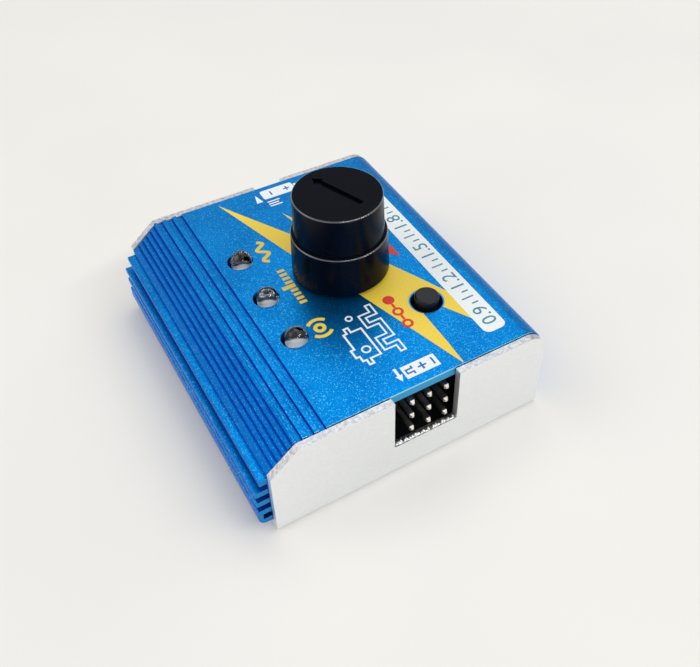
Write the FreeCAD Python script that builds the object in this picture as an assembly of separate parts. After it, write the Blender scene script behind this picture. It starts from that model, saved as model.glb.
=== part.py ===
"""Palm-size servo tester in a folded aluminium tray under a finned aluminium extrusion.

Modelled from the case's own corner: x = 0 at the left edge of the end plates, y = 0 at the
front plate's outer face, z = 0 on the table.  Every node is moved to the bottom centre of
the whole object when it is written.
"""
import FreeCAD, Part
import math
import os

V = FreeCAD.Vector

# ---- case, mm ----
case_width = 40.0          # end plates and extrusion, without the side fins
case_depth = 48.4
panel_top = 14.2           # upper face of the extrusion
plate_drop = 0.25          # end plates stop this far under the upper face
sheet = 1.0                # tray sheet
bend_radius = 0.6
inner_bend = 0.08
end_gap = 0.1              # extrusion to end plate
wall = 1.2
panel_thickness = 1.4
edge_radius = 2.7          # long rounded edge on the right
chamfer_run = 3.9          # long chamfer on the left
chamfer_drop = 3.8

# ---- ribs and grooves of the extrusion ----
fin_first = 1.25           # underside of the lowest fin
fin_pitch = 1.9
fin_thickness = 0.9
fin_reach = 1.8
top_fin_reach = 1.1
web = 0.65                 # joins the tips of the two lowest fins
groove_right = 7.6         # centre of the right-hand groove in the flat top
groove_pitch = 1.55
groove_width = 0.85
groove_depth = 0.6
groove_count = 3
rib_first = 1.05           # along the chamfer from its foot
rib_pitch = 0.95
rib_count = 5
rib_half_width = 0.3
rib_depth = 0.42

# ---- screw rails and circuit board ----
rail_width = 3.2
rail_height = 5.3
board_slot_depth = 0.7
board_thickness = 1.6
board_bottom = 2.6
board_clearance = 0.1
lead_end = board_bottom - 0.9
screw_inset_x = 2.3
screw_inset_y = 6.5
screw_radius = 1.0         # M2
screw_head_radius = 1.9
screw_length = 5.0
thread_clearance = 0.02

# ---- dial: potentiometer and knob ----
dial_x = 22.95
dial_y = 25.0
pot_width = 9.8
pot_length = 10.8
wafer_thickness = 1.2
pot_can_height = 5.4
pot_cavity_radius = 4.2
shaft_radius = 3.0
shaft_clearance = 0.05
flat_depth = 1.5           # D flat on the shaft
knob_fit = 0.02
bushing_wall = 0.5
shoulder_width = 1.1          # shoulder beyond the bushing
bushing_clearance = 0.1
washer_width = 1.5            # washer beyond the bushing
washer_thickness = 0.4
nut_clearance = 0.3           # nut's corners to the knob's recess
nut_height = 2.0
knob_gap = 0.55            # skirt above the panel
knob_height = 12.25
knob_step = 6.2            # top of the skirt above its bottom
knob_top_radius = 6.05
knob_step_radius = 6.2
skirt_top_radius = 6.6
skirt_radius = 6.8
skirt_wall = 0.9
pointer_angle = 111.4      # the arrow, from +X towards +Y
arrow_tip = 4.7
arrow_tail = -3.9
arrow_width = 0.9
arrow_head_half = 1.1
arrow_head_length = 1.6
arrow_depth = 0.45
arrow_off_centre = V(0.3, 0.2, 0)
knob_rim = 0.16             # rounding of the top edge and of the step

# ---- push button ----
button_x = 29.5
button_y = 12.9
button_hole_radius = 2.23
switch_size = 6.0
switch_height = 3.5
switch_cover = 0.3
plunger_radius = 1.7
plunger_clearance = 0.08
plunger_rise = 1.2         # above the panel
plunger_travel = 0.25

# ---- indicator lamps ----
lamp_x = 11.25
lamp_first_y = 15.9
lamp_pitch = 8.6
lamp_count = 3
lamp_radius = 1.5
lamp_hole_gap = 0.32
lamp_off_centre = V(0.15, -0.15, 0)   # lamps lean on the right front of their holes
lamp_rise = 0.15           # dome centre above the panel
lamp_flange_width = 0.4
lamp_barrel = 3.6
lead_size = 0.5
lead_spacing = 2.54

# ---- connectors ----
pitch = 2.54
pin_size = 0.64
output_x = 22.3            # middle column
pin_low = 6.55             # lowest row of pins
pin_recess = 0.5           # tips behind the outer face of the end plate
pin_free = 6.0
housing_depth = 2.5
housing_base_gap = 0.0
notch_left = 16.8
notch_right = 26.3
notch_bottom = 5.25
input_notch_margin = 0.95

# ---- derived places ----
plate_top = panel_top - plate_drop
ceiling = panel_top - panel_thickness
chamfer_foot = panel_top - chamfer_drop
board_top = board_bottom + board_thickness
shell_front = sheet + end_gap
shell_rear = case_depth - sheet - end_gap
rail_inner = wall + rail_width
board_left = rail_inner - board_slot_depth + board_clearance
board_right = case_width - board_left
board_front = shell_front + 0.3
board_rear = shell_rear - 0.3
bushing_radius = shaft_radius + bushing_wall
shoulder_radius = bushing_radius + shoulder_width
washer_radius = bushing_radius + washer_width
knob_recess = skirt_radius - skirt_wall
nut_corner = knob_recess - nut_clearance
lamp_hole_radius = lamp_radius + lamp_hole_gap
lamp_flange_radius = lamp_radius + lamp_flange_width
skirt_bottom = panel_top + knob_gap
knob_top = skirt_bottom + knob_height
nut_top = panel_top + washer_thickness + nut_height
bushing_top = nut_top + 0.5
shaft_top = knob_top - 1.9
fin_count = 1 + int((chamfer_foot - fin_first - fin_thickness) / fin_pitch)
notch_middle = (notch_left + notch_right) / 2
origin = V((case_width - fin_reach) / 2, case_depth / 2, 0)


# ---- building helpers ----
def box(x0, x1, y0, y1, z0, z1):
    return Part.makeBox(x1 - x0, y1 - y0, z1 - z0, V(x0, y0, z0))


def rod(x, y, z0, z1, radius):
    return Part.makeCylinder(radius, z1 - z0, V(x, y, z0))


def ring(x, y, z0, z1, outer, inner):
    return rod(x, y, z0, z1, outer).cut(rod(x, y, z0, z1, inner))


def join(shapes):
    whole = shapes[0].fuse(shapes[1:]) if len(shapes) > 1 else shapes[0]
    return whole.removeSplitter()


def outline(corners, to_point):
    """Closed wire through (u, v, radius) corners, each rounded by its radius."""
    edges = []
    count = len(corners)
    starts = []
    ends = []
    arcs = []
    for index, (u, v, radius) in enumerate(corners):
        here = V(u, v, 0)
        back = V(*corners[index - 1][:2], 0) - here
        ahead = V(*corners[(index + 1) % count][:2], 0) - here
        back.normalize()
        ahead.normalize()
        half = back.getAngle(ahead) / 2
        reach = radius / math.tan(half) if radius else 0
        starts.append(here + back * reach)
        ends.append(here + ahead * reach)
        middle = back + ahead
        if radius:
            middle.normalize()
        arcs.append(here + middle * (radius / math.sin(half) - radius) if radius else None)
    for index in range(count):
        following = (index + 1) % count
        if arcs[index] is not None:
            points = [starts[index], arcs[index], ends[index]]
            edges.append(Part.Arc(*[to_point(p.x, p.y) for p in points]).toShape())
        if (starts[following] - ends[index]).Length > 1e-6:
            line = [to_point(p.x, p.y) for p in (ends[index], starts[following])]
            edges.append(Part.makeLine(*line))
    return Part.Wire(Part.__sortEdges__(edges))


def prism_y(corners, y0, y1):
    """Section in X and Z carried along Y, as an extrusion is."""
    wire = outline(corners, lambda x, z: V(x, y0, z))
    return Part.Face(wire).extrude(V(0, y1 - y0, 0))


def prism_x(corners, x0, x1):
    wire = outline(corners, lambda y, z: V(x0, y, z))
    return Part.Face(wire).extrude(V(x1 - x0, 0, 0))


def prism_z(corners, z0, z1):
    wire = outline(corners, lambda x, y: V(x, y, z0))
    return Part.Face(wire).extrude(V(0, 0, z1 - z0))


def turned(profile, x, y):
    """Solid of revolution about a vertical axis from (radius, z, rounding) points."""
    wire = outline(profile, lambda r, z: V(x + r, y, z))
    return Part.Face(wire).revolve(V(x, y, 0), V(0, 0, 1), 360)


def lamp_hole_places():
    return [(lamp_x, lamp_first_y + index * lamp_pitch) for index in range(lamp_count)]


def lamp_places():
    return [(x + lamp_off_centre.x, y + lamp_off_centre.y) for x, y in lamp_hole_places()]


def screw_places():
    xs = (screw_inset_x, case_width - screw_inset_x)
    ys = (screw_inset_y, case_depth - screw_inset_y)
    return [(x, y) for x in xs for y in ys]


def output_columns():
    return [output_x + (index - 1) * pitch for index in range(3)]


def pin_rows():
    return [pin_low + index * pitch for index in range(3)]


# ---- case ----
def cavity_outline():
    """Inside of the extrusion: its outside moved in by the wall and the panel thickness."""
    length = math.hypot(chamfer_run, chamfer_drop)
    along = (chamfer_run / length, chamfer_drop / length)
    inner_x = along[1] * panel_thickness
    inner_z = chamfer_foot - along[0] * panel_thickness
    foot = inner_z + (wall - inner_x) * along[1] / along[0]
    head = inner_x + (ceiling - inner_z) * along[0] / along[1]
    right = case_width - wall
    low = sheet - 1
    return [(wall, low, 0), (wall, foot, 0), (head, ceiling, 0),
            (right, ceiling, edge_radius - wall), (right, low, 0)]


def side_fins():
    """Level fins on the left wall; the two lowest are joined at their tips by a web."""
    fins = []
    for index in range(fin_count):
        reach = top_fin_reach if index == fin_count - 1 else fin_reach
        low = fin_first + index * fin_pitch
        tip = 0.2 if index > 1 else 0.05
        corners = [(0.2, low, 0), (-reach, low, tip), (-reach, low + fin_thickness, tip),
                   (0.2, low + fin_thickness, 0)]
        fins.append(prism_y(corners, shell_front, shell_rear))
    high = fin_first + fin_pitch + fin_thickness
    low_corner = [(-fin_reach, fin_first, 1.2), (-fin_reach, high, 0.2),
                  (0.2, high, 0), (0.2, fin_first, 0)]
    slot = box(web - fin_reach, 0, shell_front - 1, shell_rear + 1,
               fin_first + fin_thickness, fin_first + fin_pitch)
    fins = fins[2:] + [prism_y(low_corner, shell_front, shell_rear).cut(slot)]
    return fins


def top_grooves():
    """Round-bottomed grooves in the flat top and sharp ones down the chamfer."""
    cuts = []
    for index in range(groove_count):
        left = groove_right - index * groove_pitch - groove_width / 2
        right = left + groove_width
        low = panel_top - groove_depth
        corners = [(left, panel_top + 1, 0), (left, low, 0.3), (right, low, 0.3),
                   (right, panel_top + 1, 0)]
        cuts.append(prism_y(corners, shell_front - 1, shell_rear + 1))
    length = math.hypot(chamfer_run, chamfer_drop)
    ux, uz = chamfer_run / length, chamfer_drop / length
    for index in range(rib_count):
        reach = rib_first + index * rib_pitch
        x, z = ux * reach, chamfer_foot + uz * reach
        near, far = -rib_half_width, rib_half_width
        corners = [(x + ux * near - uz * 0.02, z + uz * near + ux * 0.02, 0),
                   (x + ux * far - uz * 0.02, z + uz * far + ux * 0.02, 0),
                   (x + uz * rib_depth, z - ux * rib_depth, 0)]
        cuts.append(prism_y(corners, shell_front - 1, shell_rear + 1))
    return cuts


def screw_rails():
    """Thick feet inside both walls, slotted for the circuit board's edges."""
    rails = []
    for left in (wall, case_width - rail_inner):
        rails.append(box(left, left + rail_width, shell_front, shell_rear, sheet, rail_height))
    slot_low = board_bottom - board_clearance
    slot_high = board_top + board_clearance
    slot = box(rail_inner - board_slot_depth, case_width - rail_inner + board_slot_depth,
               shell_front - 1, shell_rear + 1, slot_low, slot_high)
    return [rail.cut(slot) for rail in rails]


def top_shell():
    corners = [(0, sheet, 0), (0, chamfer_foot, 0), (chamfer_run, panel_top, 0),
               (case_width, panel_top, edge_radius), (case_width, sheet, 0)]
    outside = prism_y(corners, shell_front, shell_rear)
    hollow = prism_y(cavity_outline(), shell_front - 1, shell_rear + 1)
    body = join([outside.cut(hollow)] + side_fins() + screw_rails())
    cuts = top_grooves()
    cuts += [rod(x, y, ceiling - 1, panel_top + 1, lamp_hole_radius)
             for x, y in lamp_hole_places()]
    cuts.append(rod(button_x, button_y, ceiling - 1, panel_top + 1, button_hole_radius))
    cuts.append(rod(dial_x, dial_y, ceiling - 1, panel_top + 1,
                    bushing_radius + bushing_clearance))
    depth = screw_length + 0.3
    cuts += [rod(x, y, sheet - 1, depth, screw_radius + thread_clearance)
             for x, y in screw_places()]
    return body.cut(cuts)


def base_tray():
    """Floor with both end plates folded up, the front one notched for the output pins."""
    deep = case_depth
    folded = [(0, 0, bend_radius), (deep, 0, bend_radius), (deep, plate_top, 0),
              (deep - sheet, plate_top, 0), (deep - sheet, sheet, inner_bend),
              (sheet, sheet, inner_bend),
              (sheet, plate_top, 0), (0, plate_top, 0)]
    plate = [(0, 0, 0), (case_width, 0, 0), (case_width, plate_top, edge_radius),
             (chamfer_run, plate_top, 0), (0, plate_top - chamfer_drop + plate_drop * 2, 0)]
    tray = prism_x(folded, 0, case_width).common(prism_y(plate, -1, deep + 1))
    front = [(notch_left, notch_bottom, 0.3), (notch_right, notch_bottom, 0.3),
             (notch_right, plate_top + 1, 0), (notch_left, plate_top + 1, 0)]
    half = pitch / 2 + input_notch_margin
    rear = [(output_x - half, notch_bottom, 0.3), (output_x + half, notch_bottom, 0.3),
            (output_x + half, plate_top + 1, 0), (output_x - half, plate_top + 1, 0)]
    cuts = [prism_y(front, -1, sheet + 0.5), prism_y(rear, deep - sheet - 0.5, deep + 1)]
    for x, y in screw_places():
        cuts.append(rod(x, y, -1, sheet + 1, screw_radius + 0.1))
        cuts.append(Part.makeCone(screw_head_radius, screw_radius + 0.1,
                                  screw_head_radius - screw_radius - 0.1, V(x, y, 0)))
    return tray.cut(cuts)


def case_screws():
    """Countersunk M2 screws, driven up through the tray into the extrusion's rails."""
    screws = []
    sink = screw_head_radius - screw_radius
    for x, y in screw_places():
        head = Part.makeCone(screw_head_radius - 0.1, screw_radius, sink - 0.1, V(x, y, 0.05))
        shank = rod(x, y, 0.05 + sink - 0.1, screw_length, screw_radius)
        cross = [box(x - 1.0, x + 1.0, y - 0.17, y + 0.17, 0, 0.6),
                 box(x - 0.17, x + 0.17, y - 1.0, y + 1.0, 0, 0.6)]
        screws.append(head.fuse(shank).cut(cross).removeSplitter())
    return Part.makeCompound(screws)


# ---- connectors ----
def angle_pin(x, z, tip_y, elbow_y, inward):
    """Square pin: level from its pointed tip to the elbow, then down through the board."""
    half = pin_size / 2
    point = 0.35
    start = tip_y + inward * point
    low, high = sorted((start, elbow_y + inward * half))
    level = box(x - half, x + half, low, high, z - half, z + half)
    down = box(x - half, x + half, elbow_y - half, elbow_y + half, lead_end, z + half)
    sides = []
    for size, y in ((half, start), (half * 0.5, tip_y)):
        square = [V(x - size, y, z - size), V(x + size, y, z - size),
                  V(x + size, y, z + size), V(x - size, y, z + size)]
        sides.append(Part.makePolygon(square + [square[0]]))
    tip = Part.makeLoft(sides, True)
    return join([level, down, tip])


def header(columns, face_y, inward):
    """Housing and pins of an angled header whose tips sit just inside one end plate."""
    tip_y = face_y + inward * pin_recess
    front = tip_y + inward * pin_free
    back = front + inward * housing_depth
    low, high = sorted((front, back))
    half = pitch / 2
    block = box(columns[0] - half, columns[-1] + half, low, high, board_top,
                pin_rows()[-1] + half - 0.1)
    pins = []
    for row, z in enumerate(pin_rows()):
        elbow = back + inward * (1.1 + row * pitch)
        pins += [angle_pin(x, z, tip_y, elbow, inward) for x in columns]
    holes = [box(x - pin_size / 2, x + pin_size / 2, low - 1, high + 1,
                 z - pin_size / 2, z + pin_size / 2) for x in columns for z in pin_rows()]
    return block.cut(holes), Part.makeCompound(pins)


def header_drills():
    """Board holes for both headers, as (x, y, radius)."""
    drills = []
    for columns, face_y, inward in ((output_columns(), 0, 1), ([output_x], case_depth, -1)):
        back = face_y + inward * (pin_recess + pin_free + housing_depth)
        for row in range(3):
            elbow = back + inward * (1.1 + row * pitch)
            drills += [(x, elbow, 0.5) for x in columns]
    return drills


# ---- dial ----
def pot_housing():
    """Cast housing with a shoulder under the panel and the threaded bushing through it."""
    low = board_top + wafer_thickness
    high = low + pot_can_height
    can = box(dial_x - pot_width / 2, dial_x + pot_width / 2,
              dial_y - pot_length / 2, dial_y + pot_length / 2, low, high)
    shoulder = rod(dial_x, dial_y, high, ceiling, shoulder_radius)
    bushing = rod(dial_x, dial_y, ceiling, bushing_top, bushing_radius)
    inside = rod(dial_x, dial_y, low - 1, high - 1.2, pot_cavity_radius)
    bore = rod(dial_x, dial_y, low, bushing_top + 1, shaft_radius + shaft_clearance)
    return join([can, shoulder, bushing]).cut([inside, bore])


def pot_wafer():
    """Insulating base that carries the resistive track."""
    return box(dial_x - pot_width / 2, dial_x + pot_width / 2,
               dial_y - pot_length / 2 - 1.6, dial_y + pot_length / 2,
               board_top, board_top + wafer_thickness)


def terminal_places():
    y = dial_y - pot_length / 2 - 2.4
    return [(dial_x + (index - 1) * 2.5, y) for index in range(3)]


def pot_terminals():
    pieces = []
    for x, y in terminal_places():
        high = board_top + wafer_thickness + 0.3
        foot = box(x - 0.4, x + 0.4, y, dial_y - pot_length / 2 - 0.1,
                   board_top + wafer_thickness, high)
        drop = box(x - 0.4, x + 0.4, y - 0.15, y + 0.15, lead_end, high)
        pieces.append(join([foot, drop]))
    return Part.makeCompound(pieces)


def d_section(z0, z1, radius):
    """Round bar with one flat, the flat facing away from the arrow."""
    bar = rod(dial_x, dial_y, z0, z1, radius)
    edge = dial_y - radius + flat_depth
    flat = box(dial_x - 2 * radius, dial_x + 2 * radius, edge - 2 * radius, edge, z0, z1)
    flat.rotate(V(dial_x, dial_y, 0), V(0, 0, 1), pointer_angle - 90)
    return bar.cut(flat)


def pot_shaft():
    """Shaft with the wiper carrier at its foot and a flat for the knob."""
    carrier_low = board_top + wafer_thickness + 0.9
    carrier = rod(dial_x, dial_y, carrier_low, carrier_low + 1.2, pot_cavity_radius - 0.3)
    plain = rod(dial_x, dial_y, carrier_low, bushing_top + 0.5, shaft_radius)
    flatted = d_section(bushing_top + 0.5, shaft_top, shaft_radius)
    return join([carrier, plain, flatted])


def pot_wiper():
    """Sprung contact fingers under the carrier, just clear of the track."""
    low = board_top + wafer_thickness + 0.35
    high = board_top + wafer_thickness + 0.9
    plate = ring(dial_x, dial_y, high - 0.2, high, pot_cavity_radius - 0.6, 1.2)
    fingers = [box(dial_x + 1.6, dial_x + 3.2, dial_y + side - 0.3, dial_y + side + 0.3,
                   low, high - 0.2) for side in (-0.6, 0.6)]
    return join([plate] + fingers)


def pot_washer():
    return ring(dial_x, dial_y, panel_top, panel_top + washer_thickness, washer_radius,
                bushing_radius)


def pot_nut():
    points = [(dial_x + nut_corner * math.cos(math.radians(60 * index)),
               dial_y + nut_corner * math.sin(math.radians(60 * index)), 0)
              for index in range(6)]
    body = prism_z(points, nut_top - nut_height, nut_top)
    return body.cut(rod(dial_x, dial_y, nut_top - nut_height, nut_top, bushing_radius))


def arrow():
    """Engraved arrow, drawn along +X and turned to the pointer's angle."""
    half = arrow_width / 2
    neck = arrow_tip - arrow_head_length
    corners = [(arrow_tail, -half, 0.2), (neck + 0.4, -half, 0), (neck, -arrow_head_half, 0.1),
               (arrow_tip, 0, 0), (neck, arrow_head_half, 0.1), (neck + 0.4, half, 0),
               (arrow_tail, half, 0.2)]
    cut = prism_z(corners, knob_top - arrow_depth, knob_top + 1)
    cut.rotate(V(0, 0, 0), V(0, 0, 1), pointer_angle)
    return cut.translate(V(dial_x, dial_y, 0) + arrow_off_centre)


def knob():
    """Two-step knob, hollow under the skirt where it covers the nut."""
    step = skirt_bottom + knob_step
    roof = bushing_top + 0.4
    profile = [(0, roof, 0), (knob_recess, roof, 0), (knob_recess, skirt_bottom, 0),
               (skirt_radius, skirt_bottom, 0.1), (skirt_top_radius, step, knob_rim),
               (knob_step_radius, step, 0.05), (knob_top_radius, knob_top, knob_rim),
               (0, knob_top, 0)]
    body = turned(profile, dial_x, dial_y)
    bore = d_section(roof - 1, shaft_top + 0.1, shaft_radius + knob_fit)
    bore = bore.fuse(rod(dial_x, dial_y, roof - 1, bushing_top + 0.6, shaft_radius + knob_fit))
    return body.cut([bore, arrow()])


# ---- push button ----
def switch_base():
    half = switch_size / 2
    block = box(button_x - half, button_x + half, button_y - half, button_y + half,
                board_top, board_top + switch_height)
    well = rod(button_x, button_y, board_top + 1.4, board_top + switch_height, 2.5)
    return block.cut(well)


def switch_dome():
    """Thin snap disc on the floor of the switch's well."""
    low = board_top + 1.4
    rise = 0.35
    radius = 2.3
    ball = (radius ** 2 + rise ** 2) / (2 * rise)
    skin = 0.1
    outer = Part.makeSphere(ball, V(button_x, button_y, low + rise - ball))
    inner = Part.makeSphere(ball - skin, V(button_x, button_y, low + rise - ball))
    keep = rod(button_x, button_y, low, low + 1, radius)
    return outer.cut(inner).common(keep)


def switch_cover_plate():
    half = switch_size / 2
    low = board_top + switch_height
    plate = box(button_x - half, button_x + half, button_y - half, button_y + half,
                low, low + switch_cover)
    hole = rod(button_x, button_y, low - 1, low + 1, plunger_radius + plunger_clearance)
    return plate.cut(hole)


def switch_leg_places():
    return [(button_x + side * 3.45, button_y + end * 2.25) for side in (-1, 1)
            for end in (-1, 1)]


def switch_legs():
    legs = []
    for x, y in switch_leg_places():
        inner = button_x + math.copysign(switch_size / 2, x - button_x)
        low, high = sorted((inner, x))
        bend = box(low, high, y - 0.35, y + 0.35, board_top + 0.3, board_top + 0.5)
        drop = box(x - 0.12, x + 0.12, y - 0.35, y + 0.35, lead_end, board_top + 0.5)
        legs.append(join([bend, drop]))
    return Part.makeCompound(legs)


def button_plunger():
    """Round stem up through the panel; its collar keeps it under the switch's cover."""
    cover_low = board_top + switch_height
    top = panel_top + plunger_rise
    edge = 0.35
    foot = board_top + 1.4 + 0.35 + plunger_travel + 0.05
    profile = [(0, foot, 0), (0.8, foot, 0), (0.8, cover_low - 0.8, 0),
               (2.2, cover_low - 0.8, 0), (2.2, cover_low - 0.03, 0),
               (plunger_radius, cover_low - 0.03, 0), (plunger_radius, top, edge), (0, top, 0)]
    return turned(profile, button_x, button_y)


# ---- indicator lamps ----
def lamp_lead_places():
    return [(x, y + side * lead_spacing / 2) for x, y in lamp_places() for side in (-1, 1)]


def lamp_leads():
    """Two legs per lamp; one ends in the cup that holds the chip, the other in a post."""
    pieces = []
    base = panel_top + lamp_rise - lamp_barrel
    half = lead_size / 2
    for x, y in lamp_places():
        for side in (-1, 1):
            leg_y = y + side * lead_spacing / 2
            inner_y = y + side * 0.62
            low, high = sorted((leg_y + side * half, inner_y - side * 0.25))
            drop = box(x - half, x + half, leg_y - half, leg_y + half, lead_end, base)
            shelf = box(x - half, x + half, low, high, base - 0.5, base)
            top = base + (1.9 if side > 0 else 1.6)
            post = box(x - half, x + half, inner_y - 0.25, inner_y + 0.25, base, top)
            pieces.append(join([drop, shelf, post]))
    return Part.makeCompound(pieces)


def lamp_lenses():
    """Clear round-nosed lamps standing in their holes, each with its foot flange."""
    lenses = []
    centre = panel_top + lamp_rise
    base = centre - lamp_barrel
    for x, y in lamp_places():
        barrel = rod(x, y, base, centre, lamp_radius)
        dome = Part.makeSphere(lamp_radius, V(x, y, centre), V(0, 0, 1), 0, 90, 360)
        flange = rod(x, y, base, base + 0.9, lamp_flange_radius)
        lenses.append(join([barrel, dome, flange]))
    return Part.makeCompound([lens.cut(lamp_leads()) for lens in lenses])


# ---- board and its small parts ----
def circuit_board():
    board = box(board_left, board_right, board_front, board_rear, board_bottom, board_top)
    drills = header_drills()
    drills += [(x, y, 0.5) for x, y in terminal_places()]
    drills += [(x, y, 0.42) for x, y in switch_leg_places()]
    drills += [(x, y, 0.42) for x, y in lamp_lead_places()]
    return board.cut([rod(x, y, 0, board_top + 1, r) for x, y, r in drills])


def chip_with_legs(x, y, length, width, height, legs, leg_pitch):
    """Moulded package along Y with gull-wing legs on both long sides."""
    lift = 0.1
    body = box(x - width / 2, x + width / 2, y - length / 2, y + length / 2,
               board_top + lift, board_top + lift + height)
    body = body.makeChamfer(0.2, [edge for edge in body.Edges
                                  if edge.CenterOfMass.z > board_top + lift + height - 0.01])
    dot = rod(x - width / 2 + 0.7, y - length / 2 + 0.8, board_top + height, board_top + 9, 0.35)
    wings = []
    for side in (-1, 1):
        for index in range(legs):
            leg_y = y + (index - (legs - 1) / 2) * leg_pitch
            root = x + side * width / 2
            knee = root + side * 0.5
            toe = root + side * 1.0
            middle = board_top + lift + height * 0.45
            spans = [(root, knee, middle - 0.1, middle + 0.1),
                     (knee - side * 0.2, knee, board_top, middle + 0.1),
                     (knee - side * 0.2, toe, board_top, board_top + 0.2)]
            parts = [box(*sorted(span[:2]), leg_y - 0.2, leg_y + 0.2, *span[2:])
                     for span in spans]
            wings.append(join(parts))
    return body.cut(dot), Part.makeCompound(wings)


def regulator():
    """Three-leg surface-mount regulator with its wide tab."""
    x, y = 31.0, board_rear - 6.0
    body = box(x - 3.25, x + 3.25, y - 1.75, y + 1.75, board_top + 0.05, board_top + 1.65)
    metal = [box(x - 1.5, x + 1.5, y + 1.75, y + 3.4, board_top, board_top + 0.3)]
    for index in (-1, 0, 1):
        leg_x = x + index * 2.3
        metal.append(box(leg_x - 0.35, leg_x + 0.35, y - 3.4, y - 1.75, board_top,
                         board_top + 0.3))
    return body, Part.makeCompound(metal)


def smoothing_capacitor():
    """Surface-mount aluminium can on its square plastic foot."""
    x, y = board_left + 4.2, board_rear - 5.0
    foot = prism_z([(x - 2.6, y - 2.6, 0), (x + 2.6, y - 2.6, 0.9), (x + 2.6, y + 2.6, 0.9),
                    (x - 2.6, y + 2.6, 0)], board_top, board_top + 1.0)
    can = rod(x, y, board_top + 1.0, board_top + 5.4, 2.5)
    top_edge = [edge for edge in can.Edges if edge.CenterOfMass.z > board_top + 5.3
                and edge.Closed]
    return foot, can.makeFillet(0.3, top_edge)


def resonator():
    """Low metal crystal can with rounded ends, lying between the chip and the board edge."""
    x, y = board_left + 4.2, dial_y + 2.0
    corners = [(x - 1.8, y - 5.0, 1.7), (x + 1.8, y - 5.0, 1.7), (x + 1.8, y + 5.0, 1.7),
               (x - 1.8, y + 5.0, 1.7)]
    return prism_z(corners, board_top, board_top + 3.2)


def chip_row(x, y, count, step, length, width, height):
    """Row of small leadless chips along Y: ceramic bodies and their metal end caps."""
    bodies = []
    caps = []
    for index in range(count):
        middle = y + index * step
        low, high = middle - width / 2, middle + width / 2
        bodies.append(box(x - length / 2 + 0.3, x + length / 2 - 0.3, low, high,
                          board_top, board_top + height))
        for side in (-1, 1):
            ends = sorted((x + side * length / 2, x + side * (length / 2 - 0.3)))
            caps.append(box(*ends, low, high, board_top, board_top + height))
    return bodies, caps


def small_chips():
    """Resistors, ceramic capacitors, and the end caps of both."""
    resistors, caps = chip_row(15.2, 18.0, 8, 2.1, 2.0, 1.25, 0.5)
    ceramics, more = chip_row(board_right - 2.0, 17.5, 3, 2.6, 2.0, 1.25, 0.9)
    return [Part.makeCompound(group) for group in (resistors, ceramics, caps + more)]


def build_nodes():
    output_housing, output_pins = header(output_columns(), 0, 1)
    input_housing, input_pins = header([output_x], case_depth, -1)
    chip_body, chip_legs = chip_with_legs(board_right - 3.9, dial_y + 3.6, 9.9, 3.9, 1.5, 8, 1.2)
    regulator_body, regulator_tabs = regulator()
    capacitor_foot, capacitor_can = smoothing_capacitor()
    resistors, ceramics, end_caps = small_chips()
    return {
        "top_shell": top_shell(), "base_tray": base_tray(), "case_screws": case_screws(),
        "circuit_board": circuit_board(),
        "knob": knob(), "pot_shaft": pot_shaft(), "pot_wiper": pot_wiper(),
        "pot_housing": pot_housing(), "pot_wafer": pot_wafer(),
        "pot_terminals": pot_terminals(), "pot_washer": pot_washer(), "pot_nut": pot_nut(),
        "button_plunger": button_plunger(), "switch_base": switch_base(),
        "switch_dome": switch_dome(), "switch_cover": switch_cover_plate(),
        "switch_legs": switch_legs(),
        "lamp_lenses": lamp_lenses(), "lamp_leads": lamp_leads(),
        "output_header_housing": output_housing, "output_header_pins": output_pins,
        "input_header_housing": input_housing, "input_header_pins": input_pins,
        "microcontroller": chip_body, "microcontroller_legs": chip_legs,
        "regulator": regulator_body, "regulator_tabs": regulator_tabs,
        "capacitor_foot": capacitor_foot, "capacitor_can": capacitor_can,
        "resonator": resonator(),
        "chip_resistors": resistors, "chip_capacitors": ceramics, "chip_end_caps": end_caps,
    }


os.makedirs("parts", exist_ok=True)
for name, shape in build_nodes().items():
    placed = shape.copy()
    placed.translate(origin * -1)
    placed.exportStep("parts/" + name + ".step")
    print(name, len(placed.Solids), "solids", placed.isValid(), round(placed.Volume, 2))
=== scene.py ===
"""A palm-size servo tester: finned blue aluminium case in a folded silver tray.

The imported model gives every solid. This script adds the printed panel, the burrs left by
shearing, the insides of the three lamps, the finishes, the light and the camera.
"""
import math

import bpy
import numpy as np
from mathutils import Matrix, Vector


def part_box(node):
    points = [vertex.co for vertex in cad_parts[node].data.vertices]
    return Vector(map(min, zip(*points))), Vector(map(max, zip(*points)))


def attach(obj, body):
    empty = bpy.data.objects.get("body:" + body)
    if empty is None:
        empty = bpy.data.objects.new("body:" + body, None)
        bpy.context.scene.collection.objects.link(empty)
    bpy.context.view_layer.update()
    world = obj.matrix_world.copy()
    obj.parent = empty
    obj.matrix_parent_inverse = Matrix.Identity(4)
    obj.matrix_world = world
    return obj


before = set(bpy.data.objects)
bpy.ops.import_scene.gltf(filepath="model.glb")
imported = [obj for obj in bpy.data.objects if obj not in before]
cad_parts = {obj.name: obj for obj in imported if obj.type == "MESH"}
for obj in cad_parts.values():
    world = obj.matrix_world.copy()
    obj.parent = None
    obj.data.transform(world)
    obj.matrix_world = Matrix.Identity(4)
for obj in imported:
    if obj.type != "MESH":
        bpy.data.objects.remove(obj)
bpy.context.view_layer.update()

# ---- places, in metres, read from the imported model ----
mm = 0.001
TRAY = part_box("base_tray")
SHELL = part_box("top_shell")
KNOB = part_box("knob")
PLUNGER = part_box("button_plunger")
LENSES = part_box("lamp_lenses")

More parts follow.
